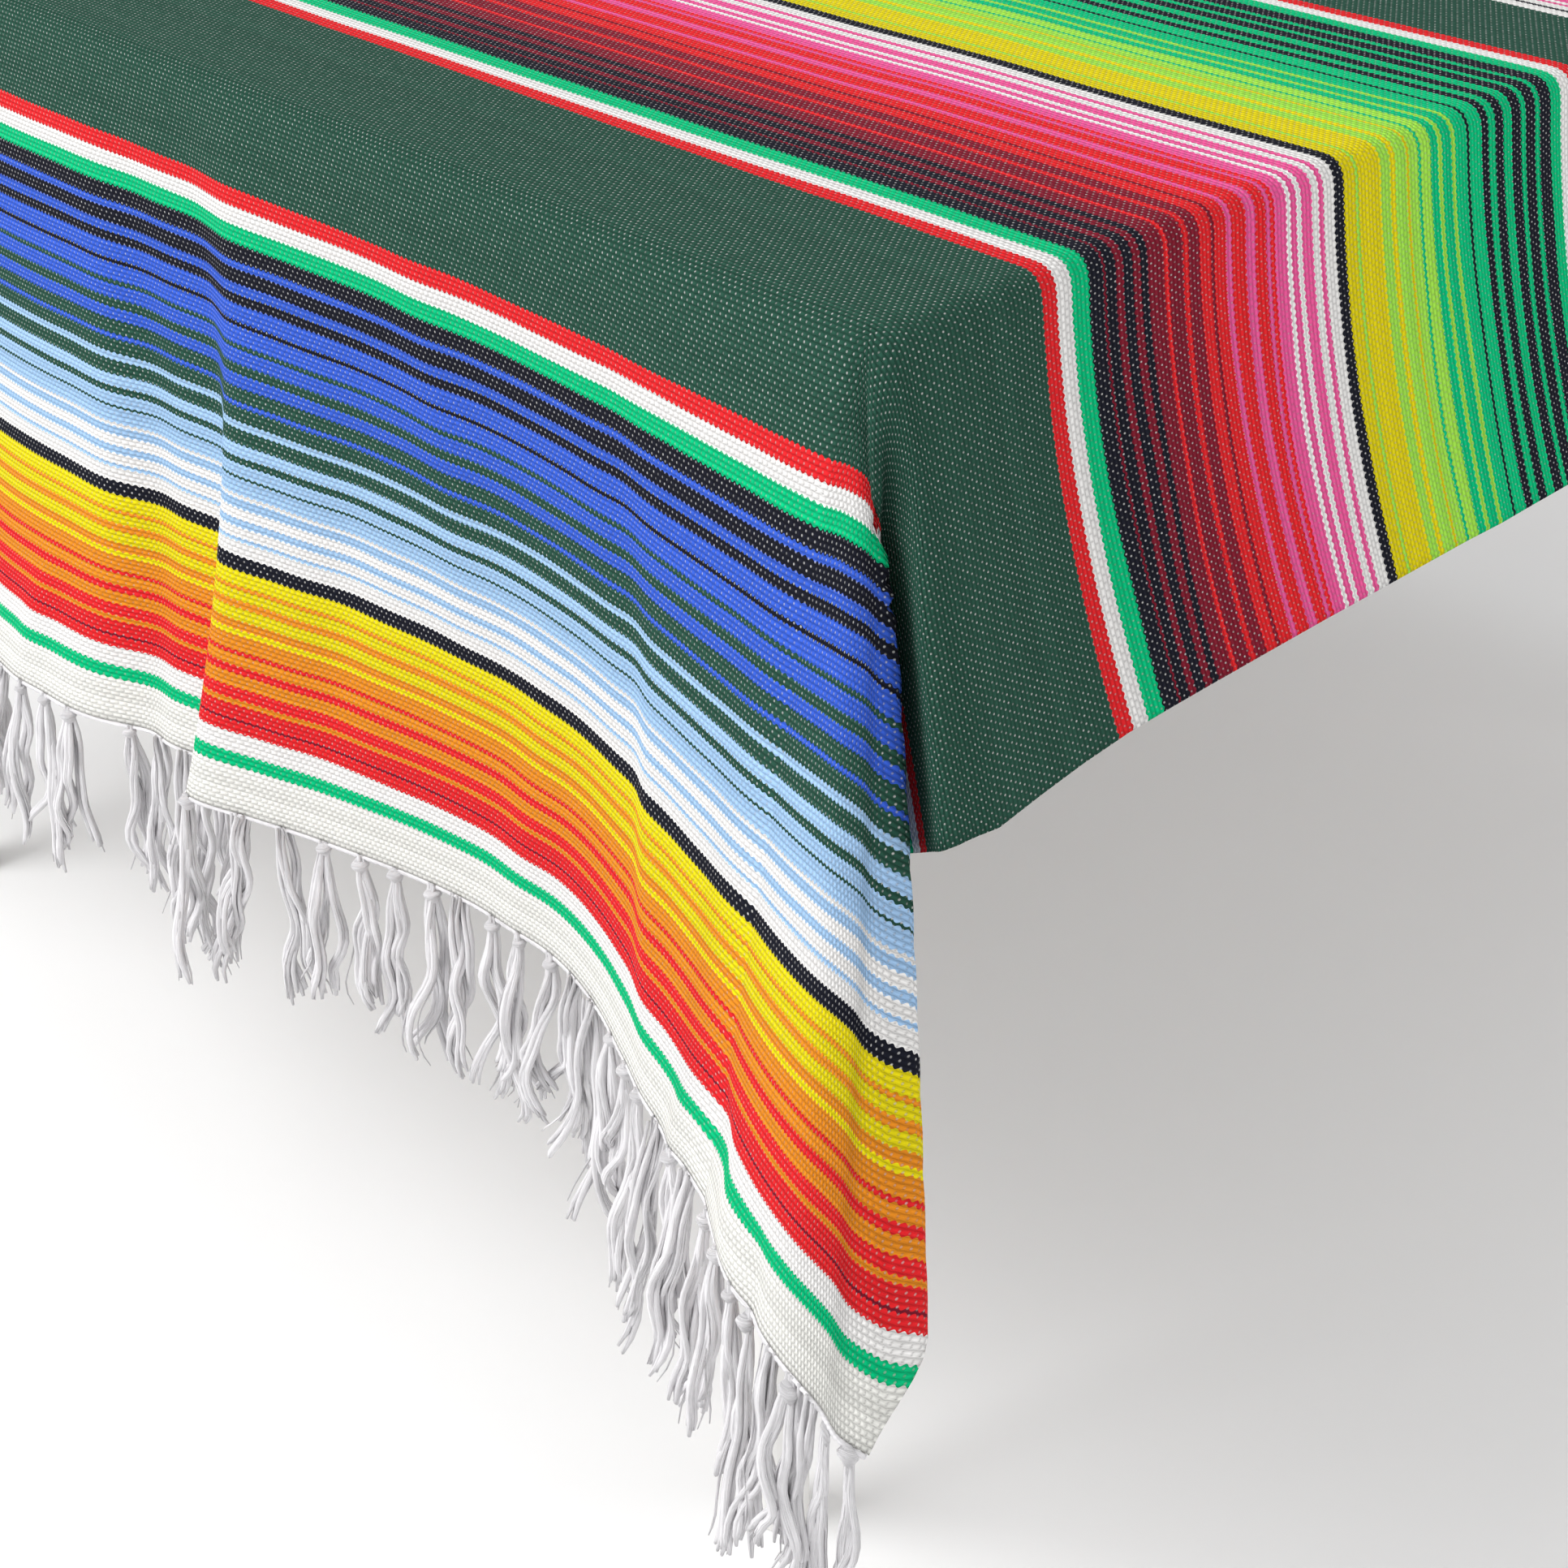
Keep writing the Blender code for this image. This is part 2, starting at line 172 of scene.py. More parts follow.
# Corner: side (+1 right), end (+1 back), its ear and how far that swings
EARS = (
    (1, -1, NEAR_EAR, 1.00),
    (1, 1, FAR_EAR, 1.00),
    (-1, 1, FAR_EAR, 0.90),
    (-1, -1, FAR_EAR, 1.05),
)

# Small creases and dents. Across and along is the middle of each, in flat cloth coordinates.
# Width and length are those of its bell shape, the turn is that of its length from the
# direction along the cloth, in degrees, and the height is how far it stands out.
CREASES = (
    # across, along, width, length, turn, height
    (0.165, 0.016, 0.014, 0.024, 62, 0.0045),
    (0.190, 0.034, 0.012, 0.030, 48, -0.0035),
    (0.128, 0.010, 0.010, 0.018, 20, -0.0030),
    (0.235, 0.012, 0.013, 0.022, -20, 0.0030),
    (0.300, 0.090, 0.016, 0.090, 14, 0.0030),
    (0.330, 0.180, 0.014, 0.120, 8, -0.0030),
    (0.420, 0.060, 0.018, 0.080, -10, 0.0028),
    (0.480, 0.240, 0.022, 0.100, 6, 0.0030),
    (0.560, 0.110, 0.020, 0.120, -7, -0.0028),
    (0.745, 0.130, 0.018, 0.100, 5, 0.0030),
    (0.800, 0.040, 0.012, 0.040, -12, 0.0032),
    (0.905, 0.160, 0.022, 0.130, 4, -0.0035),
    (1.050, 0.080, 0.020, 0.090, -9, 0.0035),
    (1.190, 0.170, 0.022, 0.120, 6, -0.0030),
    (0.070, 0.520, 0.020, 0.060, 74, 0.0030),
    (0.110, 0.600, 0.014, 0.070, -82, -0.0028),
    (0.060, 0.760, 0.018, 0.070, 88, 0.0030),
    (0.120, 0.900, 0.020, 0.080, 84, -0.0030),
    (0.070, 1.080, 0.018, 0.060, -86, 0.0032),
    (0.100, 1.300, 0.020, 0.080, 88, -0.0030),
    (1.430, 0.560, 0.018, 0.070, 84, 0.0032),
    (1.390, 0.800, 0.022, 0.080, -86, -0.0030),
    (1.440, 1.060, 0.018, 0.070, 88, 0.0030),
    (1.400, 1.330, 0.020, 0.080, 82, -0.0032),
    (0.300, 1.850, 0.020, 0.110, 8, 0.0035),
    (0.520, 1.900, 0.018, 0.080, -10, -0.0030),
    (0.760, 1.830, 0.022, 0.120, 5, 0.0035),
    (0.980, 1.900, 0.018, 0.090, -6, 0.0030),
    (1.210, 1.840, 0.020, 0.110, 9, -0.0035),
    (0.420, 0.700, 0.045, 0.300, 32, 0.0010),
    (0.880, 0.950, 0.050, 0.340, -24, 0.0012),
    (1.100, 1.350, 0.045, 0.300, 40, 0.0010),
)

# Half sizes of a warp dot, across and along the cloth
DOT_ACROSS = 0.00048
DOT_ALONG = 0.00068

# Fringe: locks in a tassel, points down a strand, and the share of tassels that are knotted
LOCKS = 3
STRAND_POINTS = 17
KNOTTED_SHARE = 0.66
# Sizes along the hem and outward: a lock's long and short sway, and the oval that its strands fill
LONG_SWAY = (0.0100, 0.0075)
SHORT_SWAY = (0.0030, 0.0022)
LOCK_OVAL = (0.0025, 0.0020)
# Width of a lock down its length, at a knot and where there is none, and thickness of a strand
LOCK_PLACES = (0, 0.05, 0.12, 0.35, 0.62, 0.88, 1.0)
TIED_WIDTH = (0.60, 0.45, 0.52, 0.95, 1.00, 0.90, 1.25)
LOOSE_WIDTH = (1.35, 1.20, 1.00, 0.95, 1.00, 0.90, 1.25)
TAPER_PLACES = (0, 0.05, 0.18, 0.90, 0.97, 1.0)
TAPER = (0.60, 0.55, 1.0, 1.0, 0.85, 0.50)
# Half sizes of a knot along the hem, outward and down, and length of a bead of the heading
KNOT = (0.0044, 0.0038, 0.0038)
BEAD = 0.0045

# Stage: each light's name, place and size, what they point at, and the camera's place from the
# near corner of the table top
LIGHTS = (
    ("key", (-1.1, -2.6, 2.7), 2.2),
    ("fill", (2.7, 0.4, 1.9), 2.2),
)
LIT_PLACE = np.array([0.1, -0.3, 0.55])
CAMERA_FROM_CORNER = (0.6090, -0.6373, 0.3545)

# Weaver's chart from a hem to the middle of the cloth, in rows of the weave. The other half
# mirrors it.
HEM_BAND = (
    "cream 9.9, green 3.0, white 4.3, red 2.4, maroon 0.7, red 3.0, orange 1.1, red 2.7, orange 2.8, "
    "red 1.7, orange 2.4, red 0.9, orange 3.5, yellow 1.0, orange 2.1, yellow 2.3, orange 1.7, "
    "yellow 2.4, orange 0.8, yellow 3.4, black 3.0, white 3.3, sky 0.7, white 2.3, sky 1.7, white 2.2, "
    "sky 2.0, white 1.0, sky 3.2, pine 0.8, sky 2.3, pine 1.8, sky 2.6, pine 3.2, sky 1.3, pine 3.2, "
    "blue 1.0, pine 3.1, blue 2.8, pine 1.8, blue 3.5, pine 0.7, blue 3.7, black 1.0, blue 3.8, "
    "black 1.9, blue 2.3, black 3.0, blue 1.7, black 3.5, green 3.8, white 3.5, red 3.5"
)
FIELD = "pine 56.2"
WIDE_BAND = (
    "red 3.6, white 3.8, green 3.8, black 3.6, maroon 0.6, black 3.0, maroon 1.6, black 2.4, "
    "maroon 2.0, black 1.6, maroon 4.0, red 1.2, maroon 4.0, red 1.4, maroon 3.0, red 3.0, maroon 1.0, "
    "red 3.2, pink 1.6, red 3.6, pink 2.4, red 2.8, pink 1.2, red 1.2, pink 3.2, white 1.2, pink 1.6, "
    "white 1.6, pink 2.8, white 2.0, pink 1.2, white 3.2, black 2.8, yellow 3.4, lime 0.8, yellow 6.9, "
    "lime 2.6, yellow 1.4, lime 3.6, yellow 1.0, lime 2.5, green 1.1, lime 3.1, green 2.2, lime 1.3, "
    "green 2.7, lime 1.4, green 3.9, black 0.8, green 3.7, black 2.5, green 2.6, black 2.7, green 2.7, "
    "black 3.3, green 1.2, black 3.2, green 1.7, black 4.0, green 3.6, white 3.6, red 3.2"
)
INNER_FIELD = "pine 28.7"
MIDDLE_BAND = (
    "white 3.4, black 1.2, white 2.4, pink 1.0, white 1.4, pink 2.6, red 1.0, pink 1.4, red 3.2, "
    "maroon 1.0, red 1.4, maroon 3.0, black 1.0, maroon 1.2, black 3.5"
)
CHART = ", ".join((HEM_BAND, FIELD, WIDE_BAND, INNER_FIELD, MIDDLE_BAND))


def metres(name, description, default, low, high):
    """Property for a length in metres, between two limits."""
    return FloatProperty(name=name, description=description, default=default, min=low, max=high,
                         unit="LENGTH")


def tint(name, description, default):
    """Property for the colour of a yarn, a paint or the floor."""
    return FloatVectorProperty(name=name, description=description, default=default, subtype="COLOR")


class SerapeClothSettings(bpy.types.PropertyGroup):
    """Mesh and wall of the cloth."""

    wall: metres("Wall", "Thickness of the woven cloth", 0.0018, 0.0005, 0.005)
    cells_drop: IntProperty(name="Cells down an end", description="Mesh cells from a table end to its hem",
                            default=56, min=8, max=160)
    cells_side: IntProperty(name="Cells down a side",
                            description="Mesh cells from a table side to its selvedge",
                            default=36, min=8, max=120)
    cells_across: IntProperty(name="Cells across", description="Mesh cells between the table's sides",
                              default=216, min=16, max=300)
    cells_along: IntProperty(name="Cells along", description="Mesh cells between the table's ends",
                             default=44, min=16, max=300)


class SerapeWeaveSettings(bpy.types.PropertyGroup):
    """Weave and yarn colours."""

    column: metres("Warp spacing", "Distance between two warp dots in a row", 0.0033, 0.001, 0.02)
    row: metres("Row height", "Height of one row of weft", 0.0025, 0.001, 0.02)
    dot_strength: FloatProperty(name="Dot strength", description="How much of the white warp shows through",
                                default=0.68, min=0.0, max=1.0, subtype="FACTOR")
    relief: metres("Relief", "Height of a weft float", 0.0009, 0.0, 0.003)
    cream: tint("Cream", "Hem yarn", (0.87, 0.865, 0.82))
    white: tint("White", "White yarn", (0.90, 0.885, 0.87))
    green: tint("Green", "Bright green yarn", (0.001, 0.56, 0.22))
    red: tint("Red", "Red yarn", (0.83, 0.022, 0.028))
    maroon: tint("Maroon", "Dark red yarn", (0.23, 0.013, 0.030))
    orange: tint("Orange", "Orange yarn", (0.82, 0.27, 0.018))
    yellow: tint("Yellow", "Yellow yarn", (0.80, 0.68, 0.008))
    black: tint("Black", "Blue-black yarn", (0.012, 0.013, 0.022))
    sky: tint("Light blue", "Light blue yarn", (0.37, 0.58, 0.86))
    blue: tint("Blue", "Blue yarn", (0.045, 0.125, 0.68))
    pine: tint("Dark green", "Yarn of the plain fields", (0.024, 0.085, 0.058))
    pink: tint("Pink", "Pink yarn", (0.88, 0.11, 0.34))
    lime: tint("Lime", "Yellow-green yarn", (0.38, 0.80, 0.08))


class SerapeFringeSettings(bpy.types.PropertyGroup):
    """Tassels at the two ends."""

    tassels: IntProperty(name="Tassels", description="Tassels at each end", default=66, min=4, max=120)
    strands: IntProperty(name="Strands", description="Thick soft strands in each tassel", default=11,
                         min=3, max=40)
    wisps: IntProperty(name="Wisps", description="Thin loose yarns in each tassel", default=5, min=0,
                       max=40)
    length: metres("Length", "Usual length of a tassel below the hem", 0.106, 0.02, 0.3)
    strand: metres("Strand", "Radius of one strand", 0.0017, 0.0003, 0.005)
    wisp: metres("Wisp", "Radius of one loose yarn", 0.0006, 0.0002, 0.003)
    colour: tint("Colour", "Undyed cotton yarn", (0.92, 0.905, 0.925))


class SerapeTableSettings(bpy.types.PropertyGroup):
    """Finish of the table."""

    paint: tint("Paint", "Colour of the table's paint", (0.80, 0.79, 0.77))
    roughness: FloatProperty(name="Roughness", description="Roughness of the paint", default=0.5, min=0.0,
                             max=1.0, subtype="FACTOR")


class SerapeStageSettings(bpy.types.PropertyGroup):
    """Floor, lights and camera."""

    floor: tint("Floor", "Colour of the floor", (0.95, 0.95, 0.95))
    key: FloatProperty(name="Key light", description="Power of the main soft light", default=88.0, min=0.0,
                       max=1000.0, unit="POWER")
    fill: FloatProperty(name="Fill light", description="Power of the light from the right", default=14.0,
                        min=0.0, max=1000.0, unit="POWER")
    sky_strength: FloatProperty(name="Surround", description="Strength of the light from all round",
                                default=0.70, min=0.0, max=5.0)
    lens: FloatProperty(name="Lens", description="Focal length for a 36 mm frame", default=57.8, min=10.0,
                        max=200.0)
    pitch: FloatProperty(name="Pitch", description="How far down the camera looks",
                         default=math.radians(32.3), subtype="ANGLE")
    azimuth: FloatProperty(name="Azimuth", description="How far round from the front it stands",
                           default=math.radians(46.0), subtype="ANGLE")


def loop_place(side, end, near_x, near_y, turn):
    """Distance round the table, from the front edge's left corner and counter-clockwise.

    side and end are -1, 0 or 1: past which of the edges the point hangs. turn is the
    part of a quarter turn from the fringed end, 0 to 1.
    """
    front = near_x + TABLE_WIDTH / 2
    front_right = TABLE_WIDTH + turn * TURN_SPAN
    right = TABLE_WIDTH + TURN_SPAN + near_y + TABLE_LENGTH / 2
    half = TABLE_WIDTH + TABLE_LENGTH + 2 * TURN_SPAN
    back_right = half - turn * TURN_SPAN
    back = half + TABLE_WIDTH / 2 - near_x
    back_left = half + TABLE_WIDTH + turn * TURN_SPAN
    left = half + TABLE_WIDTH + TURN_SPAN + TABLE_LENGTH / 2 - near_y
    front_left = 2 * half - turn * TURN_SPAN
    return np.select(
        [(end < 0) & (side == 0), (end < 0) & (side > 0), (end == 0) & (side > 0),
         (end > 0) & (side > 0), (end > 0) & (side == 0), (end > 0) & (side < 0),
         (end == 0) & (side < 0), (end < 0) & (side < 0)],
        [front, front_right, right, back_right, back, back_left, left, front_left],
        0.0)


def fold_loop():
    """All fold tables as one array round the table: loop place, lean right, lean back, bow."""
    rows = []

    def add(side, end, near_x, near_y, turn, lean_x, lean_y, bow):
        """Add a row at its place on the loop."""
        place = loop_place(np.array(side), np.array(end), near_x, near_y, turn)
        rows.append((float(place), lean_x, lean_y, bow))

    for place, lean_x, lean_y, bow in FRONT_FOLDS:
        add(0, -1, place, 0.0, 0.0, lean_x, lean_y, bow)
    for place, lean_x, lean_y, bow in BACK_FOLDS:
        add(0, 1, place, 0.0, 0.0, lean_x, lean_y, bow)
    for place, lean_x, lean_y, bow in RIGHT_FOLDS:
        add(1, 0, 0.0, place, 0.0, lean_x, lean_y, bow)
    for place, lean_x, lean_y, bow in LEFT_FOLDS:
        add(-1, 0, 0.0, place, 0.0, lean_x, lean_y, bow)
    for side, end, ear, swing in EARS:
        for turn, past_side, past_end, bow in ear:
            add(side, end, 0.0, 0.0, turn / 90, side * past_side * swing, end * past_end * swing, bow)
    return np.array(sorted(rows))


def read_loop(rows, place):
    """Leans and bow at a place on the loop, by a cubic through the rows that closes on itself."""
    round_trip = 2 * (TABLE_WIDTH + TABLE_LENGTH + 2 * TURN_SPAN)
    before = rows[-1:] - (round_trip, 0, 0, 0)
    after = rows[:2] + (round_trip, 0, 0, 0)
    rows = np.vstack([before, rows, after])
    knots, values = rows[:, 0], rows[:, 1:]
    gap = np.diff(knots)[:, None]
    rise = np.diff(values, axis=0) / gap
    slope = np.zeros_like(values)
    slope[1:-1] = (gap[1:] * rise[:-1] + gap[:-1] * rise[1:]) / (gap[1:] + gap[:-1])
    place = np.mod(place - knots[1], round_trip) + knots[1]
    low = np.clip(np.searchsorted(knots, place, side="right") - 1, 1, len(knots) - 3)
    step = gap[low]
    u = (place - knots[low])[:, None] / step
    return ((2 * u**3 - 3 * u**2 + 1) * values[low] + (u**3 - 2 * u**2 + u) * step * slope[low]
            + (3 * u**2 - 2 * u**3) * values[low + 1] + (u**3 - u**2) * step * slope[low + 1])


def hang(across, along):
    """Points of the cloth's underside: level over the table, and past its edge down a leaning ruling.

    A point's nearest place on the table is found first. Its reach past that place is turned
    from level to the ruling over EDGE_RUN, with the ruling's lean from the fold loop.
    """
    shape = np.shape(across)
    across = np.ravel(across).astype(float)
    along = np.ravel(along).astype(float)
    x = CLOTH_WIDTH / 2 - across
    y = along - CLOTH_LENGTH / 2
    near_x = np.clip(x, -TABLE_WIDTH / 2, TABLE_WIDTH / 2)
    near_y = np.clip(y, -TABLE_LENGTH / 2, TABLE_LENGTH / 2)
    past_x, past_y = x - near_x, y - near_y
    reach = np.hypot(past_x, past_y)
    side = np.sign(np.round(past_x, 9))
    end = np.sign(np.round(past_y, 9))
    angle = np.arctan2(np.abs(past_x), np.abs(past_y))
    rows = fold_loop()
    folds = read_loop(rows, loop_place(side, end, near_x, near_y, angle / (math.pi / 2)))
    lean, bow = folds[:, :2], folds[:, 2]

    # Close to a corner the ear's folds fade to a plain fan between its two end rulings
    at_end = read_loop(rows, loop_place(side, end, near_x, near_y, np.zeros_like(angle)))[:, :2]
    at_side = read_loop(rows, loop_place(side, end, near_x, near_y, np.ones_like(angle)))[:, :2]
    fan = at_end * np.cos(angle)[:, None] + at_side * np.sin(angle)[:, None]
    grown = np.clip((reach - EAR_START) / (EAR_FULL - EAR_START), 0, 1)
    grown = (grown**2 * (3 - 2 * grown))[:, None]
    in_corner = ((side != 0) & (end != 0))[:, None]
    lean = np.where(in_corner, fan * (1 - grown) + lean * grown, lean)

    # Over the edge the cloth turns from level to its ruling, half of the run each
    bend = np.clip(reach / EDGE_RUN, 0, 1)
    fall = np.where(reach < EDGE_RUN, EDGE_RUN * (bend**3 - bend**4 / 2), reach - EDGE_RUN / 2)
    out = np.where(reach < EDGE_RUN, reach - fall, EDGE_RUN / 2)
    length = np.minimum(END_DROP / np.maximum(np.cos(angle), 1e-6),
                        SIDE_DROP / np.maximum(np.sin(angle), 1e-6))
    share = np.clip(reach / length, 0, 1)
    out = out - bow * 4 * share * (1 - share)
    safe = np.maximum(reach, 1e-9)
    down = np.sqrt(1 - (lean**2).sum(axis=1))
    points = np.stack([near_x + past_x / safe * out + lean[:, 0] * fall,
                       near_y + past_y / safe * out + lean[:, 1] * fall,
                       -down * fall], axis=1)
    return (points + CLOTH_BASE).reshape(*shape, 3)


def crease_height(across, along):
    """Sum of the creases' heights: a bell for each, with its own width, length and turn."""
    height = np.zeros(np.shape(across))
    for middle_across, middle_along, width, length, turn, high in CREASES:
        a, b = across - middle_across, along - middle_along
        cos, sin = math.cos(math.radians(turn)), math.sin(math.radians(turn))
        height += high * np.exp(-((a * cos - b * sin) / width) ** 2 - ((a * sin + b * cos) / length) ** 2)
    return height


def drape(across, along):
    """Hung points moved out, square to the cloth, by the creases there."""
    step = 0.001
    beside = hang(across - step, along) - hang(across + step, along)
    onward = hang(across, along + step) - hang(across, along - step)
    normal = np.cross(beside, onward)
    normal /= np.linalg.norm(normal, axis=-1, keepdims=True) + 1e-12
    return hang(across, along) + normal * crease_height(across, along)[..., None]


def cloth_lines(drop, between, cells_drop, cells_between):
    """Grid lines along one direction: even down each drop, and even between the table's edges."""
    low = np.linspace(0, drop, cells_drop + 1)
    middle = np.linspace(drop, drop + between, cells_between + 1)[1:-1]
    return np.concatenate([low, middle, 2 * drop + between - low[::-1]])


def smooth_mesh(name, points, faces, material, flat=None):
    """Object from arrays of points and faces, shaded smooth, with flat coordinates as its UV map."""
    mesh = bpy.data.meshes.new(name)
    mesh.from_pydata(points.reshape(-1, 3), [], faces)
    mesh.polygons.foreach_set("use_smooth", np.ones(len(mesh.polygons), dtype=bool))
    if flat is not None:
        corners = np.empty(len(mesh.loops), dtype=np.int32)
        mesh.loops.foreach_get("vertex_index", corners)
        mesh.uv_layers.new(name="flat").data.foreach_set("uv", flat.reshape(-1, 2)[corners].ravel())
    mesh.materials.append(material)
    mesh.update()
    made = bpy.data.objects.new(name, mesh)
    bpy.context.scene.collection.objects.link(made)
    return made


def grid_faces(rows, columns):
    """Four-sided faces of a grid of rows by columns points."""
    corner = np.arange(rows - 1)[:, None] * columns + np.arange(columns - 1)
    return np.stack([corner, corner + 1, corner + columns + 1, corner + columns], axis=-1).reshape(-1, 4)


class Nodes:
    """Short ways to add and join a material's nodes."""

    def __init__(self, name):
        """Start a new material with only its shader and output."""
        self.material = bpy.data.materials.new(name)
        self.material.use_nodes = True
        self.tree = self.material.node_tree
        self.shader = self.tree.nodes["Principled BSDF"]

    def add(self, kind, *inputs, **settings):
        """Add a node, set its properties, and set or join its inputs in order, skipping None."""
        made = self.tree.nodes.new(kind)
        for key, value in settings.items():
            setattr(made, key, value)
        for socket, value in zip(made.inputs, inputs):
            self.put(socket, value)
        return made

    def put(self, socket, value):
        """Join a socket to another, or set its value."""
        if isinstance(value, bpy.types.NodeSocket):
            self.tree.links.new(value, socket)
        elif value is not None:
            socket.default_value = value

    def sum(self, operation, first, second=None, third=None):
        """Result of a Math node."""
        return self.add("ShaderNodeMath", first, second, third, operation=operation).outputs[0]

    def vector(self, x, y, z=0.0):
        """Vector from three numbers or sockets."""
        return self.add("ShaderNodeCombineXYZ", x, y, z).outputs[0]

    def noise(self, vector, scale, detail=2.0):
        """Value of a Noise texture, around 0.5."""
        made = self.add("ShaderNodeTexNoise")
        self.put(made.inputs["Vector"], vector)
        made.inputs["Scale"].default_value = scale
        made.inputs["Detail"].default_value = detail
        return made.outputs[0]

    def span(self, value, low, high, to_low, to_high, smooth=False):
        """Value moved from one range to another, clamped."""
        kind = "SMOOTHSTEP" if smooth else "LINEAR"
        return self.add("ShaderNodeMapRange", value, low, high, to_low, to_high,
                        interpolation_type=kind).outputs[0]

    def blend(self, share, first, second, kind="MIX"):
        """Colour from two colours and a share."""
        made = self.add("ShaderNodeMix", data_type="RGBA", blend_type=kind)
        self.put(made.inputs["Factor"], share)
        self.put(made.inputs["A"], first)
        self.put(made.inputs["B"], second)
        return made.outputs["Result"]

    def bump(self, height, distance, strength=1.0):
        """Normal from a height between 0 and 1."""
        made = self.add("ShaderNodeBump")
        made.inputs["Strength"].default_value = strength
        made.inputs["Distance"].default_value = distance
        self.put(made.inputs["Height"], height)
        return made.outputs[0]


def chart_stripes(weave):
    """Start row and colour of each stripe in the chart."""
    start, stripes = 0.0, []
    for entry in CHART.split(", "):
        colour, rows = entry.split(" ")
        stripes.append((start, tuple(getattr(weave, colour))))
        start += float(rows)
    return stripes


def stripe_colour(nodes, place, stripes, end):
    """Colour at a place in rows: colour ramps of up to 30 stripes each, one after the other."""
    colour = None
    for first in range(0, len(stripes), 30):
        group = stripes[first:first + 30]
        low = group[0][0]
        high = stripes[first + 30][0] if first + 30 < len(stripes) else end
        ramp = nodes.add("ShaderNodeValToRGB", nodes.span(place, low, high, 0.0, 1.0))
        ramp.color_ramp.interpolation = "CONSTANT"
        elements = ramp.color_ramp.elements
        elements.remove(elements[1])
        elements[0].position = 0.0
        elements[0].color = (*group[0][1], 1.0)
        for start, paint in group[1:]:
            elements.new((start - low) / (high - low)).color = (*paint, 1.0)
        past = nodes.sum("GREATER_THAN", place, low)
        colour = ramp.outputs[0] if colour is None else nodes.blend(past, colour, ramp.outputs[0])
    return colour


